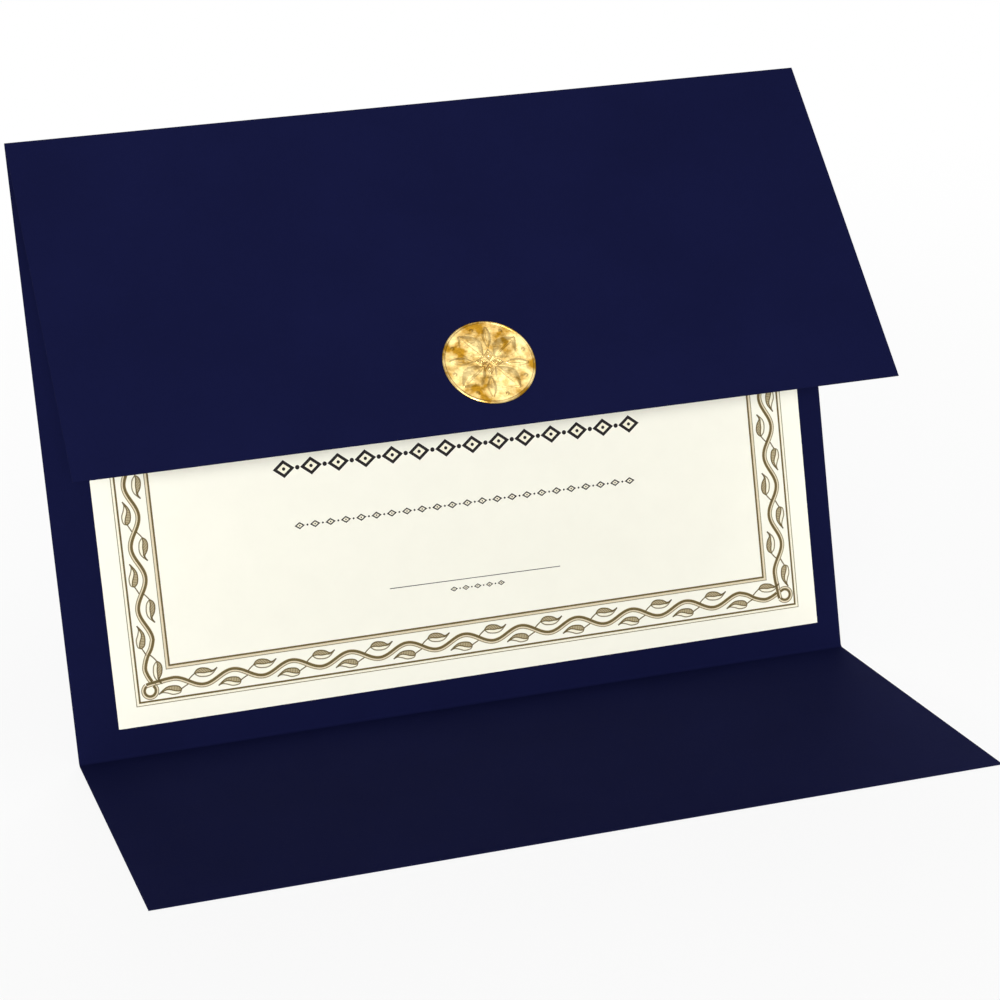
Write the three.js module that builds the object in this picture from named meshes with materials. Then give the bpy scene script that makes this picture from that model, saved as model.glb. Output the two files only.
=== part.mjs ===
import * as THREE from "three";

// Driving sizes, in millimetres and degrees.

// The certificate: one letter sheet, laid flat against the inside of the back panel.
const CERTIFICATE_WIDTH = 279.4;
const CERTIFICATE_HEIGHT = 215.9;
const CERTIFICATE_THICKNESS = 0.2;
const CERTIFICATE_SHIFT = 3.4; // sideways, from the middle of the cover

// Card left bare round the certificate, which sets the size of the back panel.
const SIDE_MARGIN = 12.7;
const MARGIN_BELOW = 10.9;
const MARGIN_ABOVE = 1.8;

// The cover: one sheet of card, its flaps measured from fold line to free edge before folding.
const CARD_THICKNESS = 0.36;
const BASE_FLAP_LENGTH = 139.7;
const TOP_FLAP_LENGTH = 139.7;
const BASE_FOLD_INSIDE_RADIUS = 1.4;
const TOP_FOLD_INSIDE_RADIUS = 0.4;
const BACK_PANEL_LEAN = 9.3; // from upright
const TOP_FLAP_OPENING = 33.3; // between the back panel and the top flap

// The seal: a round of embossed foil on the outside of the top flap.
const SEAL_DIAMETER = 34;
const SEAL_THICKNESS = 0.25; // foil and its gummed backing, between the embossed forms
const SEAL_FROM_EDGE = 26.3; // the flap's free edge to the middle of the seal
const SEAL_SHIFT = 1.5; // sideways, from the middle of the cover

// The embossing, with its heights measured from the flat of the foil.
const RIM_WIDTH = 1.1;
const RIM_HEIGHT = 0.3;
const LOZENGE_INNER_POINT = 0.5;
const LOZENGE_LENGTH = 4.6;
const LOZENGE_HALF_WIDTH = 1.5;
const LOZENGE_HEIGHT = 0.42;
const LOZENGE_TURN = -8; // of the whole figure on the flap
const LEAF_GAP = 0.7; // between a lozenge's outer point and the leaf beyond it
const LEAF_HALF_WIDTH = 1.7;
const LEAF_HEIGHT = 0.34;
const PETAL_START = 2.6;
const PETAL_HALF_WIDTH = 4.3;
const PETAL_HEIGHT = 0.5;
const FIGURE_TO_RIM = 1.2; // from the tips of the leaves and petals to the rim
const VEIN_WIDTH = 0.5;
const VEIN_DEPTH = 0.16;
const BEAD_RADIUS = 0.85;
const BEAD_HEIGHT = 0.32;
const BEAD_TO_RIM = 1.1;

// How finely the round forms are faceted.
const FOLD_SEGMENTS = 8;
const SEAL_SEGMENTS = 96;
const SEAL_RINGS = 26;

// Left between a piece and the card that it lies on.
const SEAT_GAP = 0.1;

const FIGURE_REPEATS = 4;
const HALF = 0.5;

const coverWidth = CERTIFICATE_WIDTH + 2 * SIDE_MARGIN;
const backPanelLength = MARGIN_BELOW + CERTIFICATE_HEIGHT + MARGIN_ABOVE;
const lean = THREE.MathUtils.degToRad(BACK_PANEL_LEAN);
const opening = THREE.MathUtils.degToRad(TOP_FLAP_OPENING);
const rightAngle = Math.PI / 2;

const navyCard = new THREE.MeshStandardMaterial({ color: 0x14173a, roughness: 0.85, metalness: 0 });
const ivoryPaper = new THREE.MeshStandardMaterial({ color: 0xfefced, roughness: 0.8, metalness: 0 });
const goldFoil = new THREE.MeshStandardMaterial({ color: 0xe6c767, roughness: 0.3, metalness: 1 });

// A fold that turns the card to the left by an angle, its radius taken at the middle of the card.
function fold(angle, insideRadius) {
  const radius = insideRadius + CARD_THICKNESS * HALF;
  return { angle, radius, halfLength: radius * angle * HALF };
}

const baseFold = fold(rightAngle - lean, BASE_FOLD_INSIDE_RADIUS);
const topFold = fold(Math.PI - opening, TOP_FOLD_INSIDE_RADIUS);

// Each fold takes half of its curved length from the panel on either side of it, so the flat sheet
// keeps its length. The walk goes along the middle of the card, seen from the side, with x to the
// back and y up.
function walkCard() {
  const walk = { at: new THREE.Vector2(0, CARD_THICKNESS * HALF), heading: 0 };
  const ahead = () => new THREE.Vector2(Math.cos(walk.heading), Math.sin(walk.heading));
  const leftward = () => ahead().rotateAround(new THREE.Vector2(), rightAngle);
  const panel = (length) => {
    const run = { start: walk.at.clone(), heading: walk.heading, left: leftward() };
    walk.at.addScaledVector(ahead(), length);
    run.end = walk.at.clone();
    return run;
  };
  const bend = ({ angle, radius }) => {
    const centre = walk.at.clone().addScaledVector(leftward(), radius);
    const arc = { centre, radius, from: walk.heading - rightAngle };
    walk.heading += angle;
    arc.to = walk.heading - rightAngle;
    walk.at.copy(centre).addScaledVector(leftward(), -radius);
    return arc;
  };
  const baseFlap = panel(BASE_FLAP_LENGTH - baseFold.halfLength);
  const baseArc = bend(baseFold);
  const backPanel = panel(backPanelLength - baseFold.halfLength - topFold.halfLength);
  const topArc = bend(topFold);
  const topFlap = panel(TOP_FLAP_LENGTH - topFold.halfLength);
  return { baseFlap, baseArc, backPanel, topArc, topFlap };
}

const card = walkCard();

// The card's section: out along its lower and outer face, and back along the inner one.
function cardSection() {
  const half = CARD_THICKNESS * HALF;
  const { baseFlap, baseArc, topArc, topFlap } = card;
  const section = new THREE.Shape();
  const face = (point, run, side) => point.clone().addScaledVector(run.left, side * half);
  const lineTo = ({ x, y }) => section.lineTo(x, y);
  const start = face(baseFlap.start, baseFlap, -1);
  section.moveTo(start.x, start.y);
  lineTo(face(baseFlap.end, baseFlap, -1));
  for (const { centre, radius, from, to } of [baseArc, topArc]) {
    section.absarc(centre.x, centre.y, radius + half, from, to, false);
  }
  lineTo(face(topFlap.end, topFlap, -1));
  lineTo(face(topFlap.end, topFlap, 1));
  for (const { centre, radius, from, to } of [topArc, baseArc]) {
    section.absarc(centre.x, centre.y, radius - half, to, from, true);
  }
  lineTo(face(baseFlap.start, baseFlap, 1));
  section.closePath();
  return section;
}

function makeCover() {
  const geometry = new THREE.ExtrudeGeometry(cardSection(), {
    depth: coverWidth,
    bevelEnabled: false,
    curveSegments: FOLD_SEGMENTS,
  });
  const sectionToSide = new THREE.Matrix4().makeBasis(
    new THREE.Vector3(0, 1, 0),
    new THREE.Vector3(0, 0, 1),
    new THREE.Vector3(1, 0, 0),
  );
  geometry.applyMatrix4(sectionToSide);
  geometry.translate(-coverWidth * HALF, 0, 0);
  const cover = new THREE.Mesh(geometry, navyCard);
  cover.name = "cover";
  return cover;
}

// A group with its x along the cover's width, its y up a panel from a given point, and its z out
// of the panel's front face.
function panelFrame(origin, upAngle) {
  const frame = new THREE.Group();
  frame.position.set(0, origin.x, origin.y);
  frame.rotation.x = upAngle;
  return frame;
}

function makeCertificate() {
  const certificate = new THREE.Mesh(
    new THREE.BoxGeometry(CERTIFICATE_WIDTH, CERTIFICATE_HEIGHT, CERTIFICATE_THICKNESS),
    ivoryPaper,
  );
  certificate.name = "certificate";
  const fromFoldLine = MARGIN_BELOW - baseFold.halfLength;
  const faceOut = CARD_THICKNESS * HALF + SEAT_GAP;
  certificate.position.set(
    CERTIFICATE_SHIFT,
    fromFoldLine + CERTIFICATE_HEIGHT * HALF,
    faceOut + CERTIFICATE_THICKNESS * HALF,
  );
  return certificate;
}

// A smooth hump, 1 at its middle and 0 from its edge outwards, for a distance as a share of its
// half-width.
function hump(share) {
  return share * share < 1 ? (1 - share * share) ** 2 : 0;
}

// A point in the foil's plane, turned into the sector of one repeat of the figure: along is
// measured outwards on the sector's middle line, and across sideways from it.
function inSector(radius, angle, middle) {
  const sector = (2 * Math.PI) / FIGURE_REPEATS;
  const turned = THREE.MathUtils.euclideanModulo(angle - middle + sector * HALF, sector) - sector * HALF;
  return { along: radius * Math.cos(turned), across: Math.abs(radius * Math.sin(turned)) };
}

// A leaf-shaped swelling from start to end with a vein pressed into its middle line.
function leafRelief({ along, across }, start, end, halfWidth, height) {
  const share = (along - start) / (end - start);
  if (share <= 0 || share >= 1) return 0;
  const width = halfWidth * Math.sin(Math.PI * share);
  const swelling = height * Math.sqrt(hump(across / width));
  const vein = VEIN_DEPTH * hump(across / VEIN_WIDTH) * Math.sin(Math.PI * share);
  return across < width ? Math.max(swelling - vein, 0) : 0;
}

// A lozenge with a raised border and a bead in its middle.
function lozengeRelief({ along, across }) {
  const halfLength = LOZENGE_LENGTH * HALF;
  const offMiddle = along - LOZENGE_INNER_POINT - halfLength;
  const reach = Math.abs(offMiddle) / halfLength + across / LOZENGE_HALF_WIDTH;
  const borderPlace = 0.8;
  const borderSpread = 0.35;
  const beadSpread = 0.45;
  const border = hump((reach - borderPlace) / borderSpread);
  const bead = hump(Math.hypot(offMiddle, across) / (LOZENGE_HALF_WIDTH * beadSpread));
  return LOZENGE_HEIGHT * Math.max(border, bead);
}

// The height of the embossing at a point of the foil.
function relief(radius, angle) {
  const rimFoot = SEAL_DIAMETER * HALF - RIM_WIDTH;
  if (radius >= rimFoot) {
    return RIM_HEIGHT * hump((2 * (radius - rimFoot)) / RIM_WIDTH - 1);
  }
  const tip = rimFoot - FIGURE_TO_RIM;
  const leafStart = LOZENGE_INNER_POINT + LOZENGE_LENGTH + LEAF_GAP;
  const turn = THREE.MathUtils.degToRad(LOZENGE_TURN);
  const betweenRepeats = Math.PI / FIGURE_REPEATS;
  const onLozenge = inSector(radius, angle, turn);
  const onPetal = inSector(radius, angle, turn + betweenRepeats);
  const beadMiddle = rimFoot - BEAD_TO_RIM - BEAD_RADIUS;
  const onBead = inSector(radius, angle, turn + betweenRepeats * HALF);
  const onOtherBead = inSector(radius, angle, turn - betweenRepeats * HALF);
  const beadHeight = ({ along, across }) =>
    BEAD_HEIGHT * hump(Math.hypot(along - beadMiddle, across) / BEAD_RADIUS);
  return Math.max(
    lozengeRelief(onLozenge),
    leafRelief(onLozenge, leafStart, tip, LEAF_HALF_WIDTH, LEAF_HEIGHT),
    leafRelief(onPetal, PETAL_START, tip, PETAL_HALF_WIDTH, PETAL_HEIGHT),
    beadHeight(onBead),
    beadHeight(onOtherBead),
  );
}

// The seal is turned as a flat round, and its upper face is then raised by the embossing.
function makeSeal() {
  const outerRadius = SEAL_DIAMETER * HALF;
  const profile = [new THREE.Vector2(0, 0), new THREE.Vector2(outerRadius, 0)];
  for (let ring = 0; ring <= SEAL_RINGS; ring += 1) {
    profile.push(new THREE.Vector2(outerRadius * (1 - ring / SEAL_RINGS), SEAL_THICKNESS));
  }
  const geometry = new THREE.LatheGeometry(profile, SEAL_SEGMENTS);
  geometry.rotateX(rightAngle);
  const place = geometry.getAttribute("position");
  for (let i = 0; i < place.count; i += 1) {
    const radius = Math.hypot(place.getX(i), place.getY(i));
    const angle = Math.atan2(place.getY(i), place.getX(i));
    const onUpperFace = place.getZ(i) > SEAL_THICKNESS * HALF;
    if (onUpperFace) place.setZ(i, SEAL_THICKNESS + relief(radius, angle));
  }
  geometry.computeVertexNormals();
  const seal = new THREE.Mesh(geometry, goldFoil);
  seal.name = "seal";
  seal.position.set(SEAL_SHIFT, SEAL_FROM_EDGE, CARD_THICKNESS * HALF + SEAT_GAP);
  return seal;
}

const cover = makeCover();
const onBackPanel = panelFrame(card.backPanel.start, card.backPanel.heading);
onBackPanel.add(makeCertificate());
const onTopFlap = panelFrame(card.topFlap.end, card.topFlap.heading - Math.PI);
onTopFlap.add(makeSeal());

// The origin goes under the middle of the cover, on the surface that it stands on.
cover.geometry.computeBoundingBox();
const middle = cover.geometry.boundingBox.getCenter(new THREE.Vector3());
const diplomaCover = new THREE.Group();
diplomaCover.add(cover, onBackPanel, onTopFlap);
diplomaCover.position.y = -middle.y;

export default diplomaCover;
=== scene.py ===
"""Diploma cover of folded navy card with its certificate and seal, on a white floor in soft light."""

import math

import bmesh
import bpy
from mathutils import Euler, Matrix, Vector, noise


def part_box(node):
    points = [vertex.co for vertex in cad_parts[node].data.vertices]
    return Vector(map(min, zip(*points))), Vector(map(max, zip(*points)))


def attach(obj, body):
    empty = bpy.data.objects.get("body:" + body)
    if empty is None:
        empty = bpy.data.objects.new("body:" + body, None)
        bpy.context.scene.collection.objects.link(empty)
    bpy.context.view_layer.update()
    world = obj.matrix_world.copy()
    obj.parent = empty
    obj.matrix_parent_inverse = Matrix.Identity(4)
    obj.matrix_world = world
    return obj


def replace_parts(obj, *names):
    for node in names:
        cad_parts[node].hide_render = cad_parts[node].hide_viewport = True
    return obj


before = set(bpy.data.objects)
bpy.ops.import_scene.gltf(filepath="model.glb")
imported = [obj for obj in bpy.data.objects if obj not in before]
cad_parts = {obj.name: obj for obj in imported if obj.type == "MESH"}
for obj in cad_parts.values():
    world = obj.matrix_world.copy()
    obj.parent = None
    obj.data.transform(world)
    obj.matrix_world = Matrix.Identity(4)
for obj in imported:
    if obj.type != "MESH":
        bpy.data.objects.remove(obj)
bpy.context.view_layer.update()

bl_info = {
    "name": "Diploma cover",
    "version": (1, 0, 0),
    "blender": (4, 5, 0),
    "location": "3D View > Sidebar > Diploma cover",
    "description": "Dresses a folded card diploma cover, its certificate and its embossed seal",
    "category": "Object",
}

MM = 0.001
SEAL_LOW, SEAL_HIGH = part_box("seal")
BODY = "root"


def from_screen(red, green, blue):
    """A colour given in screen values from 0 to 255, turned into linear light."""
    def linear(value):
        share = value / 255
        return share / 12.92 if share <= 0.04045 else ((share + 0.055) / 1.055) ** 2.4
    return (linear(red), linear(green), linear(blue))


# Most of a noise's values lie between these two.
NOISE_LOW = 0.3
NOISE_HIGH = 0.7

# The ink's films, in millimetres: how far the topmost rises over the sheet, and how far each sinks in.
INK_RISE = 0.05
INK_SINK = 0.01


# Sizes and colours that a user would change

class CardSettings(bpy.types.PropertyGroup):
    """Colour and grain of the folded card"""
    colour: bpy.props.FloatVectorProperty(
        name="Card colour", description="Colour of the dyed card", subtype="COLOR", size=3,
        min=0, max=1, default=from_screen(17, 20, 54))
    mottling: bpy.props.FloatProperty(
        name="Mottling", description="How much the dye varies over the card", subtype="FACTOR",
        min=0, max=1, default=0.08)
    grain: bpy.props.FloatProperty(
        name="Grain", description="Size of the card's felt grain", unit="LENGTH", default=0.0007)
    grain_depth: bpy.props.FloatProperty(
        name="Grain depth", description="Depth of the felt grain", unit="LENGTH", default=0.00005)


class PaperSettings(bpy.types.PropertyGroup):
    """Colour and texture of the certificate's paper"""
    colour: bpy.props.FloatVectorProperty(
        name="Paper colour", description="Colour of the certificate's paper", subtype="COLOR",
        size=3, min=0, max=1, default=from_screen(254, 252, 237))
    mottling: bpy.props.FloatProperty(
        name="Mottling", description="How much the pulp varies over the sheet", subtype="FACTOR",
        min=0, max=1, default=0.02)
    fibre_depth: bpy.props.FloatProperty(
        name="Fibre depth", description="Depth of the paper's fibres", unit="LENGTH",
        default=0.00002)


class PrintSettings(bpy.types.PropertyGroup):
    """Colours of the inks"""
    dark_ink: bpy.props.FloatVectorProperty(
        name="Dark ink", description="Olive ink of the thick lines", subtype="COLOR", size=3,
        min=0, max=1, default=from_screen(110, 95, 58))
    leaf_ink: bpy.props.FloatVectorProperty(
        name="Leaf ink", description="Olive ink of a leaf's shaded half", subtype="COLOR", size=3,
        min=0, max=1, default=from_screen(180, 166, 131))
    tan_ink: bpy.props.FloatVectorProperty(
        name="Tan ink", description="Tan ink of the bands", subtype="COLOR", size=3,
        min=0, max=1, default=from_screen(228, 215, 184))
    pale_ink: bpy.props.FloatVectorProperty(
        name="Pale ink", description="Cream ink of the lightest bands", subtype="COLOR", size=3,
        min=0, max=1, default=from_screen(252, 245, 222))
    grey_ink: bpy.props.FloatVectorProperty(
        name="Grey ink", description="Grey ink of the thin lines", subtype="COLOR", size=3,
        min=0, max=1, default=from_screen(140, 130, 101))
    black_ink: bpy.props.FloatVectorProperty(
        name="Black ink", description="Ink of the rule and of the ornaments in the middle",
        subtype="COLOR", size=3, min=0, max=1, default=from_screen(40, 36, 36))


class SealSettings(bpy.types.PropertyGroup):
    """Colours, size and fineness of the embossed seal"""
    # The deep and pale golds are the two ends of random patches that paint the foil's dark reflections
    # and highlights into its colour.
    painted_dark_reflection_gold: bpy.props.FloatVectorProperty(
        name="Deep gold", description="Colour of the foil's deepest patches", subtype="COLOR",
        size=3, min=0, max=1, default=from_screen(146, 106, 26))
    painted_highlight_gold: bpy.props.FloatVectorProperty(
        name="Pale gold", description="Colour of the foil's palest patches", subtype="COLOR",
        size=3, min=0, max=1, default=from_screen(221, 196, 134))
    diameter: bpy.props.FloatProperty(
        name="Diameter", description="Diameter of the seal", unit="LENGTH",
        default=SEAL_HIGH[0] - SEAL_LOW[0])
    rings: bpy.props.IntProperty(
        name="Rings", description="Rings of the embossed face", default=96, min=24)
    segments: bpy.props.IntProperty(
        name="Segments", description="Segments round the embossed face", default=288, min=48)


class StageSettings(bpy.types.PropertyGroup):
    """Floor, light from all round and camera"""
    floor_size: bpy.props.FloatProperty(
        name="Floor size", description="Length of the floor's side", unit="LENGTH", default=16)
    ambient: bpy.props.FloatProperty(
        name="Ambient light", description="Strength of the light from all round", default=0.3)
    camera_place: bpy.props.FloatVectorProperty(
        name="Camera place", description="Where the camera stands", subtype="XYZ",
        unit="LENGTH", size=3, default=(-0.276238, -0.93863, 0.375556))
    camera_turn: bpy.props.FloatVectorProperty(
        name="Camera turn", description="How the camera is turned about each axis",
        subtype="EULER", size=3,
        default=(math.radians(73.974), math.radians(3.029), math.radians(-17.2425)))
    camera_lens: bpy.props.FloatProperty(
        name="Lens", description="Focal length of the camera", unit="CAMERA", default=102.531)


# Shared helpers

class Finish:
    """A material under construction: a Principled shader and the nodes that feed it."""

    def __init__(self, name):
        self.material = bpy.data.materials.new(name)
        self.material.use_nodes = True
        self.tree = self.material.node_tree
        self.shader = self.tree.nodes["Principled BSDF"]
        self.place = self.add("ShaderNodeTexCoord").outputs["Object"]

    def add(self, kind, **inputs):
        """A new node, with its inputs set by name."""
        node = self.tree.nodes.new(kind)
        for name, value in inputs.items():
            node.inputs[name.replace("_", " ")].default_value = value
        return node

    def link(self, source, target):
        """Joins an output to an input."""
        self.tree.links.new(source, target)

    def noise(self, grain, detail=4.0, stretch=None):
        """Noise whose patches are about as wide as the grain, in metres."""
        node = self.add("ShaderNodeTexNoise", Scale=1 / grain, Detail=detail, Roughness=0.6)
        if stretch:
            scaling = self.add("ShaderNodeMapping")
            scaling.inputs["Scale"].default_value = stretch
            self.link(self.place, scaling.inputs["Vector"])
            self.link(scaling.outputs["Vector"], node.inputs["Vector"])
        else:
            self.link(self.place, node.inputs["Vector"])
        return node.outputs["Fac"]

    def ramp(self, source, stops):
        """Colours by the source's value: stops are pairs of place and colour."""
        node = self.add("ShaderNodeValToRGB")
        elements = node.color_ramp.elements
        while len(elements) < len(stops):
            elements.new(0.5)
        for element, (place, colour) in zip(elements, stops):
            element.position = place
            element.color = (*colour, 1)
        self.link(source, node.inputs["Fac"])
        return node.outputs["Color"]

    def spread(self, source, low, high):
        """Turns a noise's usual values into ones from low to high."""
        node = self.add("ShaderNodeMapRange", From_Min=NOISE_LOW, From_Max=NOISE_HIGH,
                        To_Min=low, To_Max=high)
        self.link(source, node.inputs["Value"])
        return node.outputs["Result"]

    def bump(self, layers):
        """Stacks bumps: each layer is a height from 0 to 1 and its depth in metres."""
        normal = None
        for height, depth in layers:
            node = self.add("ShaderNodeBump", Strength=1.0, Distance=depth)
            self.link(height, node.inputs["Height"])
            if normal:
                self.link(normal, node.inputs["Normal"])
            normal = node.outputs["Normal"]
        self.link(normal, self.shader.inputs["Normal"])

    def surface(self, metallic, specular):
        """Sets what is the same all over the surface."""
        self.shader.inputs["Metallic"].default_value = metallic
        self.shader.inputs["Specular IOR Level"].default_value = specular


def shade(colour, share):
    """The colour made lighter or darker, never past full."""
    return tuple(min(value * share, 1) for value in colour)


def dress(node, material):
    """Puts one material on all of a solid's faces."""
    node.data.materials.clear()
    node.data.materials.append(material)
    for face in node.data.polygons:
        face.material_index = 0


def new_piece(name, mesh):
    """Adds a mesh to the scene as a piece of the object."""
    piece = bpy.data.objects.new(name, mesh)
    bpy.context.scene.collection.objects.link(piece)
    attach(piece, BODY)
    return piece


class Sheet:
    """The certificate's front face: turns millimetres on the sheet into places in the scene."""

    def __init__(self):
        corners = [vertex.co.copy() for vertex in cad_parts["certificate"].data.vertices]
        low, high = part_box("certificate")
        front = min(corners, key=lambda corner: (round(corner.y, 6), corner.x))
        top = max(corners, key=lambda corner: (round(corner.z, 6), -corner.x))
        rise = Vector((0, top.y - front.y, top.z - front.z))
        self.origin = Vector((low[0], front.y, front.z))
        self.up = rise.normalized()
        self.out = Vector((0, -self.up.z, self.up.y))
        self.width = (high[0] - low[0]) / MM
        self.height = rise.length / MM

    def at(self, along, up, out):
        """A place so far along the sheet, up it and out of its face."""
        place = self.origin.copy()
        place.x += along * MM
        return place + self.up * (up * MM) + self.out * (out * MM)


# The vine's layout on each side of the sheet, in millimetres along the side and in from the edge.
VINE_IN = 14.1
VINE_SWING = 2.05
VINE_STEP = 0.75
FIRST_CREST = 22.1
LAST_CREST = 31.5  # counted back from the side's far end
USUAL_WAVE = 22.58  # stretched a little, so that whole waves fill the side
RING_ALONG = 13.1
RING_IN = 12.7
RING_RADIUS = 2.45


class Side:
    """One side of the sheet's border, with its own directions along the side and inwards."""

    def __init__(self, start, along, inwards, length):
        self.start = Vector(start)
        self.along = Vector(along)
        self.inwards = Vector(inwards)
        self.length = length
        run = length - LAST_CREST - FIRST_CREST
        waves = round(run / USUAL_WAVE)
        self.wave = run / waves
        self.crests = [FIRST_CREST + self.wave * count for count in range(waves + 1)]

    def at(self, along, inwards):
        """A place on the sheet so far along the side and in from the edge."""
        return self.start + self.along * along + self.inwards * inwards


def border_sides(sheet):
    """The four sides, each starting where the one before it ends."""
    width, height = sheet.width, sheet.height
    return [
        Side((0, 0), (1, 0), (0, 1), width),
        Side((width, 0), (0, 1), (-1, 0), height),
        Side((width, height), (-1, 0), (0, -1), width),
        Side((0, height), (0, -1), (1, 0), height),
    ]


class Print:
    """Thin films of ink on the sheet, gathered into one mesh with one material for each ink."""

    def __init__(self, name, sheet, inks):
        self.name = name
        self.sheet = sheet
        self.mesh = bmesh.new()
        self.inks = inks
        self.order = {ink: place for place, ink in enumerate(inks)}

    def ink(self, faces, ink):
        """Gives the faces their ink."""
        for face in faces:
            face.material_index = self.order[ink]

    def rise(self, ink):
        """Later inks lie a little higher, so they cover the ones before."""
        return INK_RISE * (1 + self.order[ink]) / len(self.inks)

    def band(self, left, right, ink, closed=False):
        """A closed film between two lines of the same count of points."""
        rise = self.rise(ink)
        rows = []
        for a, b in zip(left, right):
            rows.append([self.mesh.verts.new(self.sheet.at(point[0], point[1], out))
                         for point, out in ((a, rise), (b, rise), (b, -INK_SINK), (a, -INK_SINK))])
        pairs = list(zip(rows, rows[1:]))
        if closed:
            pairs.append((rows[-1], rows[0]))
        faces = []
        for one, two in pairs:
            for corner in range(4):
                after = (corner + 1) % 4
                faces.append(self.mesh.faces.new(
                    (one[corner], one[after], two[after], two[corner])))
        if not closed:
            faces.append(self.mesh.faces.new(list(reversed(rows[0]))))
            faces.append(self.mesh.faces.new(rows[-1]))
        self.ink(faces, ink)

    def patch(self, outline, ink):
        """A closed film with a convex outline."""
        rise = self.rise(ink)
        top = [self.mesh.verts.new(self.sheet.at(p[0], p[1], rise)) for p in outline]
        bottom = [self.mesh.verts.new(self.sheet.at(p[0], p[1], -INK_SINK)) for p in outline]
        faces = [self.mesh.faces.new(top), self.mesh.faces.new(list(reversed(bottom)))]
        for corner in range(len(outline)):
            after = (corner + 1) % len(outline)
            faces.append(self.mesh.faces.new(
                (top[after], top[corner], bottom[corner], bottom[after])))
        self.ink(faces, ink)

    def line(self, points, ink, left, right, closed=False):
        """A film along a line, from the left offset to the right one."""
        self.band(beside(points, left, closed), beside(points, right, closed), ink, closed)

    def finish(self, materials):
        """Turns the films into a piece, with a material for each ink."""
        bmesh.ops.recalc_face_normals(self.mesh, faces=self.mesh.faces)
        mesh = bpy.data.meshes.new(self.name)
        self.mesh.to_mesh(mesh)
        self.mesh.free()
        for ink in self.inks:
            mesh.materials.append(materials[ink])
        return new_piece(self.name, mesh)


def beside(points, offset, closed=False):
    """The line moved sideways: to its left by a positive offset."""
    moved = []
    count = len(points)
    for place, point in enumerate(points):
        before = points[place - 1] if closed or place > 0 else point
        after = points[(place + 1) % count] if closed or place < count - 1 else point
        run = (after - before).normalized()
        moved.append(point + Vector((-run.y, run.x)) * offset)
    return moved


def smooth_line(points, steps):
    """A smooth line through the points, with even steps between each two."""
    line = []
    last = len(points) - 1
    for place in range(last):
        before = points[max(place - 1, 0)]
        start, end = points[place], points[place + 1]
        after = points[min(place + 2, last)]
        for step in range(steps):
            share = step / steps
            square, cube = share ** 2, share ** 3
            line.append((start * 2 + (end - before) * share
                         + (before * 2 - start * 5 + end * 4 - after) * square
                         + (start * 3 - before - end * 3 + after) * cube) / 2)
    line.append(points[last].copy())
    return line


# Inks

INK_NAMES = ("pale_ink", "tan_ink", "leaf_ink", "grey_ink", "dark_ink", "black_ink")
INK_SPECKLE = 0.0004
INK_SPECKLE_DEPTH = 0.000005
INK_ROUGHNESS = (0.6, 0.75)
INK_SHADES = (0.93, 1.06)


def ink_materials(settings):
    """One printed finish for each ink, with the small unevenness of ink on paper."""
    materials = {}
    for ink in INK_NAMES:
        name = ink.replace("_", " ")
        if name in bpy.data.materials:
            materials[ink] = bpy.data.materials[name]
            continue
        colour = tuple(getattr(settings, ink))
        finish = Finish(name)
        speckle = finish.noise(INK_SPECKLE)
        darkest, lightest = (shade(colour, share) for share in INK_SHADES)
        finish.link(finish.ramp(speckle, ((NOISE_LOW, darkest), (NOISE_HIGH, lightest))),
                    finish.shader.inputs["Base Color"])
        finish.link(finish.spread(speckle, *INK_ROUGHNESS), finish.shader.inputs["Roughness"])
        finish.bump([(speckle, INK_SPECKLE_DEPTH)])
        finish.surface(metallic=0, specular=0.1)
        materials[ink] = finish.material
    return materials


# The card and the sheet

# Widths in metres, and the noise's values at which the dye is darkest, even and lightest.
DYE_PATCH = 0.05
DYE_LOW = 0.45
DYE_MIDDLE = 0.68
DYE_HIGH = 0.9
GRAIN_IN_DYE = 0.35
CARD_FIBRE = 2.2  # times the grain
CARD_ROUGHNESS = (0.8, 0.92)
PULP_CLOUD = 0.012
PAPER_FIBRE = 0.0006
PAPER_ROUGHNESS = (0.78, 0.9)


def card_finish(settings):
    """Dyed card: uneven dye, felt grain and a few longer fibres."""
    colour = tuple(settings.colour)
    finish = Finish("navy card")
    dye = finish.noise(DYE_PATCH, detail=6)
    grain = finish.noise(settings.grain, detail=3)
    fibres = finish.noise(settings.grain * CARD_FIBRE, detail=5, stretch=(1, 3, 3))
    mixed = finish.add("ShaderNodeMath")
    mixed.operation = "MULTIPLY_ADD"
    finish.link(grain, mixed.inputs[0])
    mixed.inputs[1].default_value = GRAIN_IN_DYE
    finish.link(dye, mixed.inputs[2])
    darker = shade(colour, 1 - settings.mottling)
    lighter = shade(colour, 1 + settings.mottling)
    stops = ((DYE_LOW, darker), (DYE_MIDDLE, colour), (DYE_HIGH, lighter))
    finish.link(finish.ramp(mixed.outputs[0], stops), finish.shader.inputs["Base Color"])
    finish.link(finish.spread(grain, *CARD_ROUGHNESS), finish.shader.inputs["Roughness"])
    finish.bump([(grain, settings.grain_depth), (fibres, settings.grain_depth)])
    finish.surface(metallic=0, specular=0.02)
    return finish.material


def paper_finish(settings):
    """Ivory paper: faint clouds of pulp and fine fibres."""
    colour = tuple(settings.colour)
    finish = Finish("ivory paper")
    cloud = finish.noise(PULP_CLOUD, detail=5)
    fibres = finish.noise(PAPER_FIBRE, detail=4, stretch=(1, 3, 2))
    darker = shade(colour, 1 - settings.mottling)
    finish.link(finish.ramp(cloud, ((NOISE_LOW, darker), (NOISE_HIGH, colour))),
                finish.shader.inputs["Base Color"])
    finish.link(finish.spread(fibres, *PAPER_ROUGHNESS), finish.shader.inputs["Roughness"])
    finish.bump([(fibres, settings.fibre_depth)])
    finish.surface(metallic=0, specular=0.08)
    return finish.material


class DIPLOMA_OT_card(bpy.types.Operator):
    """Give the folded card its dyed, felt-grained finish"""
    bl_idname = "diploma.card"
    bl_label = "Card cover"

    def execute(self, context):
        dress(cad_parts["cover"], card_finish(context.scene.diploma_card))
        return {"FINISHED"}


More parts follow.
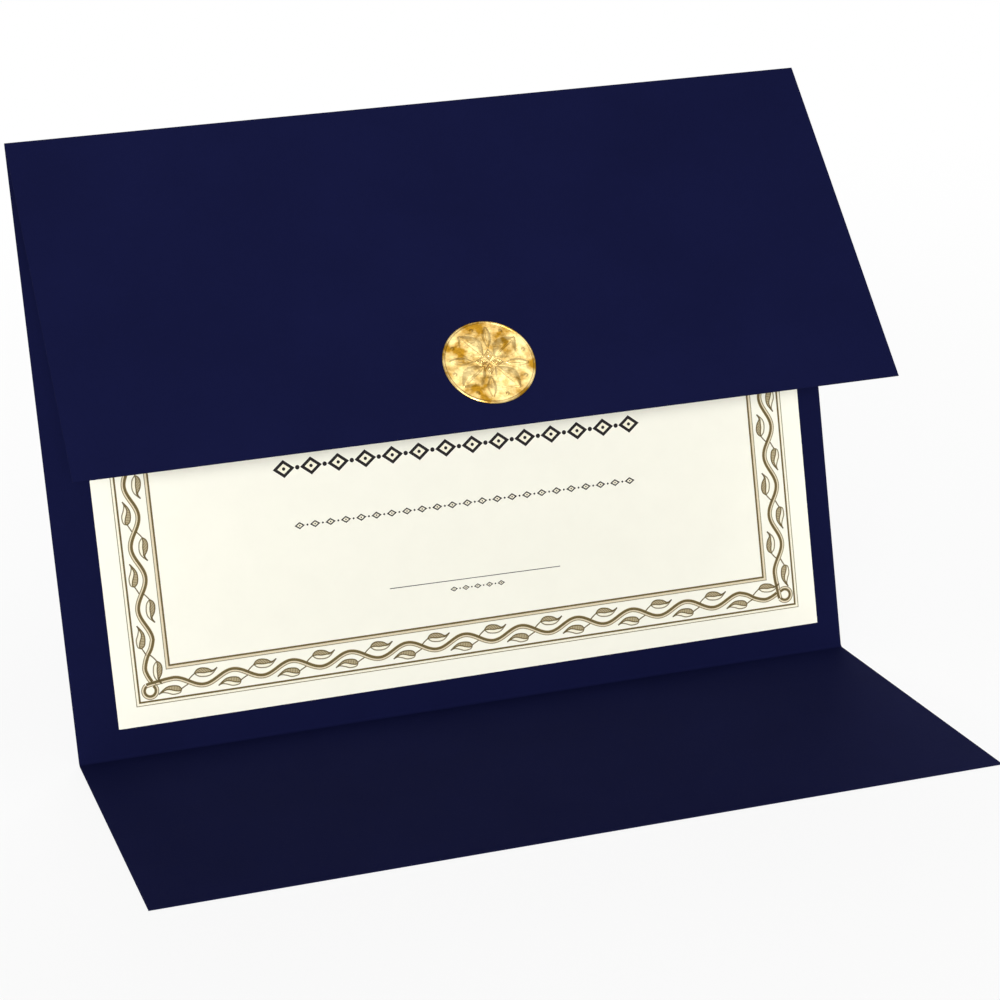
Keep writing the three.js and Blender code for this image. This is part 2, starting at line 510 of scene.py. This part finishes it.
class DIPLOMA_OT_paper(bpy.types.Operator):
    """Give the certificate's sheet its ivory paper finish"""
    bl_idname = "diploma.paper"
    bl_label = "Certificate sheet"

    def execute(self, context):
        dress(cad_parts["certificate"], paper_finish(context.scene.diploma_paper))
        return {"FINISHED"}


# The printed border

# Straight lines round the sheet: ink, and the distances of its two edges from the sheet's edge.
FRAME_LINES = (
    ("grey_ink", 7.35, 7.65), ("pale_ink", 7.65, 8.47), ("dark_ink", 8.45, 9.15),
    ("grey_ink", 19.77, 20.07), ("tan_ink", 20.07, 20.87), ("dark_ink", 20.85, 21.55),
)


def frame_band(work, sheet, near, far, ink):
    """A square-cornered band round the sheet, between two distances from its edge."""
    def corners(inset):
        right, top = sheet.width - inset, sheet.height - inset
        return [Vector(corner) for corner in
                ((inset, inset), (right, inset), (right, top), (inset, top))]
    work.band(corners(near), corners(far), ink, closed=True)


class DIPLOMA_OT_border_lines(bpy.types.Operator):
    """Print the straight lines on both sides of the vine"""
    bl_idname = "diploma.border_lines"
    bl_label = "Border lines"

    def execute(self, context):
        sheet = Sheet()
        work = Print("border_lines", sheet, ("pale_ink", "tan_ink", "grey_ink", "dark_ink"))
        for ink, near, far in FRAME_LINES:
            frame_band(work, sheet, near, far, ink)
        work.finish(ink_materials(context.scene.diploma_print))
        return {"FINISHED"}


CREST_IN = VINE_IN + VINE_SWING

# The ribbon's way from its ring to the first crest, and from the last crest to the next ring.
# The second is counted back from the side's far end.
VINE_START = ((RING_ALONG - 1.2, RING_IN + 2.15), (RING_ALONG + 0.3, RING_IN + RING_RADIUS),
              (16.6, 15.55), (19.3, 15.95), (FIRST_CREST, CREST_IN))
VINE_END = ((LAST_CREST, CREST_IN), (28.4, 15.15), (25.2, 13.25), (21.4, 12.1), (18.6, 12.65),
            (15.95, 13.95))
VINE_START_STEPS = 6
VINE_END_STEPS = 7

RING_START = math.radians(122)
RING_END = math.radians(410)
RING_STEPS = 36

# Lines of ink along the ribbon and the ring: ink, and the offsets of its two edges to the left.
RIBBON_LINES = (("pale_ink", 1.0, -1.15), ("tan_ink", 0.92, -0.8), ("dark_ink", 0.8, -0.2),
                ("grey_ink", -0.68, -1.0))
RING_LINES = (("tan_ink", 0.95, -0.7), ("dark_ink", 0.8, -0.1), ("grey_ink", -0.6, -0.92))


def vine_line(side):
    """The ribbon's middle line along one side, from its own ring to the next one."""
    start = [side.at(along, inwards) for along, inwards in VINE_START]
    line = smooth_line(start, VINE_START_STEPS)[:-1]
    run = side.crests[-1] - FIRST_CREST
    steps = round(run / VINE_STEP)
    for step in range(steps):
        past_crest = run * step / steps
        turn = 2 * math.pi * past_crest / side.wave
        line.append(side.at(FIRST_CREST + past_crest, VINE_IN + VINE_SWING * math.cos(turn)))
    end = [side.at(side.length - back, inwards) for back, inwards in VINE_END]
    return line + smooth_line(end, VINE_END_STEPS)


def ring_line(side):
    """The loop in the corner, left open where the vine passes over it."""
    points = []
    for step in range(RING_STEPS + 1):
        turn = RING_START + (RING_END - RING_START) * step / RING_STEPS
        points.append(side.at(RING_ALONG + RING_RADIUS * math.cos(turn),
                              RING_IN + RING_RADIUS * math.sin(turn)))
    return points


class DIPLOMA_OT_vine(bpy.types.Operator):
    """Print the waved ribbon and its loop in each corner"""
    bl_idname = "diploma.vine"
    bl_label = "Vine ribbon"

    def execute(self, context):
        sheet = Sheet()
        work = Print("vine", sheet, ("pale_ink", "tan_ink", "grey_ink", "dark_ink"))
        for side in border_sides(sheet):
            for points, lines in ((vine_line(side), RIBBON_LINES), (ring_line(side), RING_LINES)):
                for ink, left, right in lines:
                    work.line(points, ink, left, right)
        work.finish(ink_materials(context.scene.diploma_print))
        return {"FINISHED"}


# A leaf's lines run from its base to its tip, as places past the crest and in from the vine.
INNER_LEAF = {
    "stem": ((5.5, 0.5), (6.8, 1.7), (8.1, 2.65)),
    "upper": ((8.1, 2.65), (9.1, 3.85), (10.8, 4.3), (13.1, 3.85), (15.0, 2.8), (16.85, 3.7)),
    "middle": ((8.1, 2.65), (9.8, 2.7), (11.7, 2.4), (13.4, 2.45), (15.0, 2.5), (16.85, 3.7)),
    "lower": ((8.1, 2.65), (9.4, 1.5), (11.1, 1.05), (13.1, 1.0), (14.9, 1.7), (16.85, 3.7)),
}
OUTER_LEAF = {
    "stem": ((5.4, -0.9), (3.9, -1.65), (2.7, -2.3)),
    "upper": ((2.7, -2.3), (1.7, -1.2), (-0.25, -0.75), (-2.3, -0.85), (-3.9, -1.6), (-6.0, -3.2)),
    "middle": ((2.7, -2.3), (2.0, -3.0), (0.3, -2.7), (-1.5, -2.05), (-3.2, -1.95), (-6.0, -3.2)),
    "lower": ((2.7, -2.3), (2.0, -3.65), (-0.5, -3.95), (-2.5, -3.2), (-4.5, -2.7), (-6.0, -3.2)),
}

# Ink of each line of a leaf, and the offsets of its two edges to the left.
LEAF_LINES = {
    "upper": ("dark_ink", 0.24, -0.2),
    "middle": ("dark_ink", 0.22, -0.2),
    "lower": ("grey_ink", 0.24, -0.2),
    "stem": ("dark_ink", 0.22, -0.22),
}
LEAF_STEPS = 4

# The hatching's lines, counted in steps along a leaf.
FIRST_HATCH = 3
BARE_AT_TIP = 6
HATCH_EVERY = 2
HATCH_SLANT = 2
HATCH_HALF_WIDTH = 0.07


def draw_leaf(work, side, crest, leaf):
    """A leaf with a shaded, hatched half, a pale half, its outline and its stem."""
    lines = {name: smooth_line([side.at(crest + along, VINE_IN + inwards)
                                for along, inwards in places], LEAF_STEPS)
             for name, places in leaf.items()}
    upper, middle, lower = lines["upper"], lines["middle"], lines["lower"]
    work.band(upper[1:-1], middle[1:-1], "leaf_ink")
    work.band(middle[1:-1], lower[1:-1], "pale_ink")
    for name, (ink, left, right) in LEAF_LINES.items():
        work.line(lines[name], ink, left, right)
    for place in range(FIRST_HATCH, len(upper) - BARE_AT_TIP, HATCH_EVERY):
        hatch = [upper[place], middle[place + HATCH_SLANT]]
        work.line(hatch, "dark_ink", HATCH_HALF_WIDTH, -HATCH_HALF_WIDTH)


class DIPLOMA_OT_leaves(bpy.types.Operator):
    """Print the leaves that grow from the vine on both sides"""
    bl_idname = "diploma.leaves"
    bl_label = "Vine leaves"

    def execute(self, context):
        sheet = Sheet()
        work = Print("vine_leaves", sheet, ("pale_ink", "leaf_ink", "grey_ink", "dark_ink"))
        for side in border_sides(sheet):
            for crest in side.crests:
                draw_leaf(work, side, crest, INNER_LEAF)
                draw_leaf(work, side, crest, OUTER_LEAF)
        work.finish(ink_materials(context.scene.diploma_print))
        return {"FINISHED"}


# The rule and the ornaments in the middle of the sheet

RULE_ENDS = ((107.9, 37.8), (175.7, 37.1))
RULE_HALF_WIDTH = 0.14

# Rows of lozenges, in millimetres on the sheet.
LOZENGE_ROWS = (
    {"start": (67.0, 88.2), "end": (214.0, 88.2), "count": 14,
     "long_half": 4.2, "short_half": 3.4, "bead": 0.85},
    {"start": (73.0, 66.3), "end": (210.0, 66.3), "count": 23,
     "long_half": 2.0, "short_half": 1.35, "bead": 0.38},
    {"start": (130.5, 34.2), "end": (154.0, 34.0), "count": 5,
     "long_half": 1.5, "short_half": 0.95, "bead": 0.3},
)
HOLE_SHARE = 0.58
CENTRE_SHARE = 0.75
BEAD_SIDES = 20


def lozenge(middle, run, long_half, short_half):
    """A lozenge's corners, with its long way along the run."""
    across = Vector((-run.y, run.x))
    return [middle + run * long_half, middle + across * short_half,
            middle - run * long_half, middle - across * short_half]


def disc(middle, radius):
    """A bead's outline."""
    turns = [2 * math.pi * side / BEAD_SIDES for side in range(BEAD_SIDES)]
    return [middle + Vector((radius * math.cos(turn), radius * math.sin(turn))) for turn in turns]


def chain(work, start, end, count, long_half, short_half, bead):
    """A row of hollow lozenges with a bead in each and between each two."""
    start, end = Vector(start), Vector(end)
    run = (end - start).normalized()
    pitch = (end - start).length / count
    for place in range(count):
        middle = start + run * (pitch * (place + 0.5))
        work.patch(lozenge(middle, run, long_half, short_half), "black_ink")
        hole = lozenge(middle, run, long_half * HOLE_SHARE, short_half * HOLE_SHARE)
        work.patch(hole, "cream")
        work.patch(disc(middle, bead * CENTRE_SHARE), "centre")
        if place:
            work.patch(disc(start + run * (pitch * place), bead), "black_ink")


class DIPLOMA_OT_middle(bpy.types.Operator):
    """Print the signing rule and the rows of lozenges in the middle of the sheet"""
    bl_idname = "diploma.middle"
    bl_label = "Rule and ornaments"

    def execute(self, context):
        sheet = Sheet()
        inks = ink_materials(context.scene.diploma_print)
        rule = Print("signing_rule", sheet, ("black_ink",))
        ends = [Vector(end) for end in RULE_ENDS]
        rule.line(ends, "black_ink", RULE_HALF_WIDTH, -RULE_HALF_WIDTH)
        rule.finish(inks)
        rows = Print("lozenge_rows", sheet, ("black_ink", "cream", "centre"))
        for row in LOZENGE_ROWS:
            chain(rows, **row)
        rows.finish({"black_ink": inks["black_ink"], "cream": inks["pale_ink"],
                     "centre": inks["black_ink"]})
        return {"FINISHED"}


# The embossed seal, in millimetres

SEAL_THICKNESS = 0.25
THINNEST_FOIL = 0.15
RIM_WIDTH = 1.1
RIM_HEIGHT = 0.3
FIGURE_REPEATS = 4
LOZENGE_TURN = math.radians(-8)
LOZENGE_INNER_POINT = 0.5
LOZENGE_LENGTH = 4.6
LOZENGE_HALF_WIDTH = 1.5
LOZENGE_HEIGHT = 0.42
LOZENGE_BORDER_AT = 0.8  # share of the way from its middle to its edge
LOZENGE_BORDER_REACH = 0.35
LOZENGE_BEAD = 0.45  # share of its half width
LEAF_GAP = 0.7
LEAF_HALF_WIDTH = 1.7
LEAF_HEIGHT = 0.34
PETAL_START = 2.6
PETAL_HALF_WIDTH = 4.3
PETAL_HEIGHT = 0.5
FIGURE_TO_RIM = 1.2
VEIN_WIDTH = 0.5
VEIN_DEPTH = 0.16
BEAD_RADIUS = 0.85
BEAD_HEIGHT = 0.32
BEAD_TO_RIM = 1.1

# The foil's waves, long and short: waves to the millimetre, height, and slice of the noise.
FOIL_WAVES = ((0.42, 0.16, 3.7), (1.3, 0.05, 9.1))
WAVE_FADE = 6


def hump(share):
    """A smooth rise that is 1 in the middle and 0 from a share of 1 outwards."""
    return (1 - share * share) ** 2 if share * share < 1 else 0


def in_sector(radius, angle, middle):
    """The place along and across the middle line of the nearest repeat."""
    sector = 2 * math.pi / FIGURE_REPEATS
    turned = (angle - middle + sector / 2) % sector - sector / 2
    return radius * math.cos(turned), abs(radius * math.sin(turned))


def leaf_relief(place, start, end, half_width, height):
    """A pointed leaf with a sunk vein along its middle."""
    along, across = place
    share = (along - start) / (end - start)
    if share <= 0 or share >= 1:
        return 0
    width = half_width * math.sin(math.pi * share)
    if across >= width:
        return 0
    vein = VEIN_DEPTH * hump(across / VEIN_WIDTH) * math.sin(math.pi * share)
    return max(height * math.sqrt(hump(across / width)) - vein, 0)


def lozenge_relief(place):
    """A lozenge with a raised border and a bead in its middle."""
    along, across = place
    half_length = LOZENGE_LENGTH / 2
    off_middle = along - LOZENGE_INNER_POINT - half_length
    reach = abs(off_middle) / half_length + across / LOZENGE_HALF_WIDTH
    border = hump((reach - LOZENGE_BORDER_AT) / LOZENGE_BORDER_REACH)
    bead = hump(math.hypot(off_middle, across) / (LOZENGE_HALF_WIDTH * LOZENGE_BEAD))
    return LOZENGE_HEIGHT * max(border, bead)


def bead_relief(place, middle):
    """A round bead at its own distance from the seal's middle."""
    return BEAD_HEIGHT * hump(math.hypot(place[0] - middle, place[1]) / BEAD_RADIUS)


def relief(radius, angle, rim):
    """Height of the embossing over the seal's plain face, in millimetres."""
    rim_foot = rim - RIM_WIDTH
    if radius >= rim_foot:
        return RIM_HEIGHT * hump(2 * (radius - rim_foot) / RIM_WIDTH - 1)
    tip = rim_foot - FIGURE_TO_RIM
    between = math.pi / FIGURE_REPEATS
    on_lozenge = in_sector(radius, angle, LOZENGE_TURN)
    on_petal = in_sector(radius, angle, LOZENGE_TURN + between)
    bead_middle = rim_foot - BEAD_TO_RIM - BEAD_RADIUS
    leaf_start = LOZENGE_INNER_POINT + LOZENGE_LENGTH + LEAF_GAP
    return max(
        lozenge_relief(on_lozenge),
        leaf_relief(on_lozenge, leaf_start, tip, LEAF_HALF_WIDTH, LEAF_HEIGHT),
        leaf_relief(on_petal, PETAL_START, tip, PETAL_HALF_WIDTH, PETAL_HEIGHT),
        bead_relief(in_sector(radius, angle, LOZENGE_TURN + between / 2), bead_middle),
        bead_relief(in_sector(radius, angle, LOZENGE_TURN - between / 2), bead_middle))


def crinkle(x, y, radius, rim):
    """The small waves that pressed foil keeps, none of them at the rim."""
    rise = sum(noise.noise(Vector((x * pace, y * pace, layer))) * height
               for pace, height, layer in FOIL_WAVES)
    return rise * (1 - (radius / rim) ** WAVE_FADE)


class SealPlace:
    """Where the solid seal lies: its middle, its directions and its lower face."""

    def __init__(self):
        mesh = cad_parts["seal"].data
        corners = [vertex.co for vertex in mesh.vertices]
        # The widest facet is one of the flat back's, so it gives the back's direction.
        back = max(mesh.polygons, key=lambda facet: facet.area)
        self.across = Vector((1, 0, 0))
        self.up = self.across.cross(back.normal).normalized()
        self.out = self.across.cross(self.up)
        heights = [corner.dot(self.up) for corner in corners]
        depths = [corner.dot(self.out) for corner in corners]
        self.middle = (self.across * ((SEAL_LOW[0] + SEAL_HIGH[0]) / 2)
                       + self.up * ((min(heights) + max(heights)) / 2)
                       + self.out * min(depths))

    def at(self, x, y, z):
        """A place so far across the seal, up it and out of it."""
        return self.middle + self.across * (x * MM) + self.up * (y * MM) + self.out * (z * MM)


def seal_mesh(place, rim, rings, segments):
    """The embossed disc as one closed mesh: its face, its edge and its flat back."""
    work = bmesh.new()
    turns = [2 * math.pi * step / segments for step in range(segments)]

    def face_point(radius, angle):
        x, y = radius * math.cos(angle), radius * math.sin(angle)
        height = SEAL_THICKNESS + relief(radius, angle, rim) + crinkle(x, y, radius, rim)
        return work.verts.new(place.at(x, y, max(height, THINNEST_FOIL)))

    middle = face_point(0, 0)
    circles = [[face_point(rim * ring / rings, turn) for turn in turns]
               for ring in range(1, rings + 1)]
    back = [work.verts.new(place.at(rim * math.cos(turn), rim * math.sin(turn), 0))
            for turn in turns]
    for step in range(segments):
        after = (step + 1) % segments
        work.faces.new((middle, circles[0][step], circles[0][after]))
        for inner, outer in zip(circles, circles[1:] + [back]):
            work.faces.new((inner[step], outer[step], outer[after], inner[after]))
    work.faces.new(list(reversed(back)))
    bmesh.ops.recalc_face_normals(work, faces=work.faces)
    mesh = bpy.data.meshes.new("seal_foil")
    work.to_mesh(mesh)
    work.free()
    for polygon in mesh.polygons:
        polygon.use_smooth = len(polygon.vertices) <= 4
    return mesh


# Widths in metres, and the noise's values at which the painted reflections on the foil are deepest,
# between and palest.
PAINTED_REFLECTION_PATCH = 0.0065
FOIL_GRAIN = 0.0004
FOIL_GRAIN_DEPTH = 0.000006
FOIL_ROUGHNESS = (0.28, 0.38)
DEEP_TO = 0.38
MIDDLE_AT = 0.52
PALE_FROM = 0.64


def foil_finish(settings):
    """Gold foil: random patches from ochre to cream that are painted reflections and highlights of
    crinkled foil, and a fine brushed grain.
    """
    deep, pale = tuple(settings.painted_dark_reflection_gold), tuple(settings.painted_highlight_gold)
    finish = Finish("gold foil")
    # Painted reflections: noise patches from ochre to cream stand in for the crinkled foil's dark
    # reflections and highlights.
    patches = finish.noise(PAINTED_REFLECTION_PATCH, detail=3)
    fine = finish.noise(FOIL_GRAIN, detail=2)
    middle = tuple((a + b) / 2 for a, b in zip(deep, pale))
    stops = ((DEEP_TO, deep), (MIDDLE_AT, middle), (PALE_FROM, pale))
    finish.link(finish.ramp(patches, stops), finish.shader.inputs["Base Color"])
    finish.link(finish.spread(fine, *FOIL_ROUGHNESS), finish.shader.inputs["Roughness"])
    finish.bump([(fine, FOIL_GRAIN_DEPTH)])
    finish.surface(metallic=1, specular=0.5)
    return finish.material


class DIPLOMA_OT_seal(bpy.types.Operator):
    """Make the embossed gold foil seal in its place on the top flap"""
    bl_idname = "diploma.seal"
    bl_label = "Embossed seal"

    def execute(self, context):
        settings = context.scene.diploma_seal
        rim = settings.diameter / MM / 2
        mesh = seal_mesh(SealPlace(), rim, settings.rings, settings.segments)
        mesh.materials.append(foil_finish(settings))
        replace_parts(new_piece("seal_foil", mesh), "seal")
        return {"FINISHED"}


# Floor, lamps, world and camera, in metres

FLOOR_DROP = 0.0001
FLOOR_GREY = 0.82
FADE_FROM = 0.3
FADE_TO = 1.4
WHITE_NEAR = 0.86  # share of plain white that the camera sees on the floor beside the cover
SENSOR_WIDTH = 36  # millimetres
VIEW_REACH = 60

# A lamp's strength is the light that it gives at its aim.
LAMPS = {
    "front_lamp": {"place": (-0.95, -2.5, 0.77), "aim": (0, 0, 0.09), "size": (1.3, 0.34),
                   "strength": 0.81},
    "top_lamp": {"place": (0.25, -1.0, 1.95), "aim": (0, -0.05, 0.1), "size": (1.6, 1.0),
                 "strength": 0.22},
    "back_lamp": {"place": (0.4, 2.2, 1.6), "aim": (0, 0.05, 0.12), "size": (1.6, 1.2),
                  "strength": 0.55},
}


def seen_share(tree):
    """1 for what the camera sees, straight or in a reflection or through glass, else 0."""
    path = tree.nodes.new("ShaderNodeLightPath")
    seen = path.outputs["Is Camera Ray"]
    for other in ("Is Glossy Ray", "Is Transmission Ray"):
        add = tree.nodes.new("ShaderNodeMath")
        add.operation = "ADD"
        add.use_clamp = True
        tree.links.new(seen, add.inputs[0])
        tree.links.new(path.outputs[other], add.inputs[1])
        seen = add.outputs[0]
    return seen


def white_world(ambient):
    """A room that looks white and gives the ambient light from all round."""
    world = bpy.data.worlds.new("white room")
    bpy.context.scene.world = world
    world.use_nodes = True
    tree = world.node_tree
    tree.nodes.clear()
    shown = tree.nodes.new("ShaderNodeBackground")
    lit = tree.nodes.new("ShaderNodeBackground")
    shown.inputs["Color"].default_value = (1, 1, 1, 1)
    lit.inputs["Color"].default_value = (1, 1, 1, 1)
    lit.inputs["Strength"].default_value = ambient
    mix = tree.nodes.new("ShaderNodeMixShader")
    out = tree.nodes.new("ShaderNodeOutputWorld")
    tree.links.new(seen_share(tree), mix.inputs["Fac"])
    tree.links.new(lit.outputs[0], mix.inputs[1])
    tree.links.new(shown.outputs[0], mix.inputs[2])
    tree.links.new(mix.outputs[0], out.inputs["Surface"])


def floor_finish():
    """White floor that keeps a faint shadow and fades into the white room further out."""
    material = bpy.data.materials.new("white floor")
    material.use_nodes = True
    tree = material.node_tree
    tree.nodes.clear()
    matt = tree.nodes.new("ShaderNodeBsdfDiffuse")
    matt.inputs["Color"].default_value = (FLOOR_GREY, FLOOR_GREY, FLOOR_GREY, 1)
    glow = tree.nodes.new("ShaderNodeEmission")
    place = tree.nodes.new("ShaderNodeTexCoord")
    distance = tree.nodes.new("ShaderNodeVectorMath")
    distance.operation = "LENGTH"
    fade = tree.nodes.new("ShaderNodeMapRange")
    for name, value in (("From Min", FADE_FROM), ("From Max", FADE_TO),
                        ("To Min", WHITE_NEAR), ("To Max", 1)):
        fade.inputs[name].default_value = value
    share = tree.nodes.new("ShaderNodeMath")
    share.operation = "MULTIPLY"
    mix = tree.nodes.new("ShaderNodeMixShader")
    out = tree.nodes.new("ShaderNodeOutputMaterial")
    tree.links.new(place.outputs["Object"], distance.inputs[0])
    tree.links.new(distance.outputs["Value"], fade.inputs["Value"])
    tree.links.new(fade.outputs["Result"], share.inputs[0])
    tree.links.new(seen_share(tree), share.inputs[1])
    tree.links.new(share.outputs[0], mix.inputs["Fac"])
    tree.links.new(matt.outputs[0], mix.inputs[1])
    tree.links.new(glow.outputs[0], mix.inputs[2])
    tree.links.new(mix.outputs[0], out.inputs["Surface"])
    return material


def soft_lamp(name, place, aim, size, strength):
    """A rectangular soft lamp that lights its aim as strongly from any distance."""
    data = bpy.data.lights.new(name, "AREA")
    data.shape = "RECTANGLE"
    data.size, data.size_y = size
    line = Vector(aim) - Vector(place)
    data.energy = strength * math.pi ** 2 * line.length_squared
    lamp = bpy.data.objects.new(name, data)
    lamp.location = place
    lamp.rotation_euler = line.to_track_quat("-Z", "Y").to_euler()
    bpy.context.scene.collection.objects.link(lamp)


def lay_floor(side):
    """A square floor just under the cover."""
    half = side / 2
    corners = [(x, y, -FLOOR_DROP) for x, y in
               ((-half, -half), (half, -half), (half, half), (-half, half))]
    mesh = bpy.data.meshes.new("floor")
    mesh.from_pydata(corners, [], [(0, 1, 2, 3)])
    mesh.materials.append(floor_finish())
    floor = bpy.data.objects.new("floor", mesh)
    bpy.context.scene.collection.objects.link(floor)


def set_camera(settings):
    """The camera at the height and angle from which the cover is looked at."""
    data = bpy.data.cameras.new("camera")
    data.sensor_width = SENSOR_WIDTH
    data.lens = settings.camera_lens
    data.clip_end = VIEW_REACH
    camera = bpy.data.objects.new("camera", data)
    camera.location = settings.camera_place
    camera.rotation_euler = Euler(settings.camera_turn)
    bpy.context.scene.collection.objects.link(camera)
    bpy.context.scene.camera = camera


class DIPLOMA_OT_stage(bpy.types.Operator):
    """Set up the white floor and room, the soft lamps and the camera"""
    bl_idname = "diploma.stage"
    bl_label = "Floor, lamps and camera"

    def execute(self, context):
        settings = context.scene.diploma_stage
        lay_floor(settings.floor_size)
        white_world(settings.ambient)
        for name, lamp in LAMPS.items():
            soft_lamp(name, **lamp)
        set_camera(settings)
        context.scene.view_settings.view_transform = "Standard"
        return {"FINISHED"}


# Panel and registration

STEPS = (DIPLOMA_OT_stage, DIPLOMA_OT_card, DIPLOMA_OT_paper, DIPLOMA_OT_border_lines,
         DIPLOMA_OT_vine, DIPLOMA_OT_leaves, DIPLOMA_OT_middle, DIPLOMA_OT_seal)
SETTINGS = {"diploma_card": CardSettings, "diploma_paper": PaperSettings,
            "diploma_print": PrintSettings, "diploma_seal": SealSettings,
            "diploma_stage": StageSettings}


class DIPLOMA_PT_panel(bpy.types.Panel):
    """Lists the steps that dress the diploma cover"""
    bl_label = "Diploma cover"
    bl_idname = "DIPLOMA_PT_panel"
    bl_space_type = "VIEW_3D"
    bl_region_type = "UI"
    bl_category = "Diploma cover"

    def draw(self, context):
        for step in STEPS:
            self.layout.operator(step.bl_idname)
        for name, group in SETTINGS.items():
            box = self.layout.box()
            for setting in group.__annotations__:
                box.prop(getattr(context.scene, name), setting)


def register():
    """Adds the settings to the scene, and registers the steps and the panel."""
    for name, group in SETTINGS.items():
        bpy.utils.register_class(group)
        setattr(bpy.types.Scene, name, bpy.props.PointerProperty(type=group))
    for kind in (*STEPS, DIPLOMA_PT_panel):
        bpy.utils.register_class(kind)


def unregister():
    """Takes the panel, the steps and the settings out again."""
    for kind in (DIPLOMA_PT_panel, *reversed(STEPS)):
        bpy.utils.unregister_class(kind)
    for name, group in SETTINGS.items():
        delattr(bpy.types.Scene, name)
        bpy.utils.unregister_class(group)


def main():
    """Runs every step in order."""
    register()
    for step in STEPS:
        family, name = step.bl_idname.split(".")
        getattr(getattr(bpy.ops, family), name)()


if __name__ == "__main__":
    main()
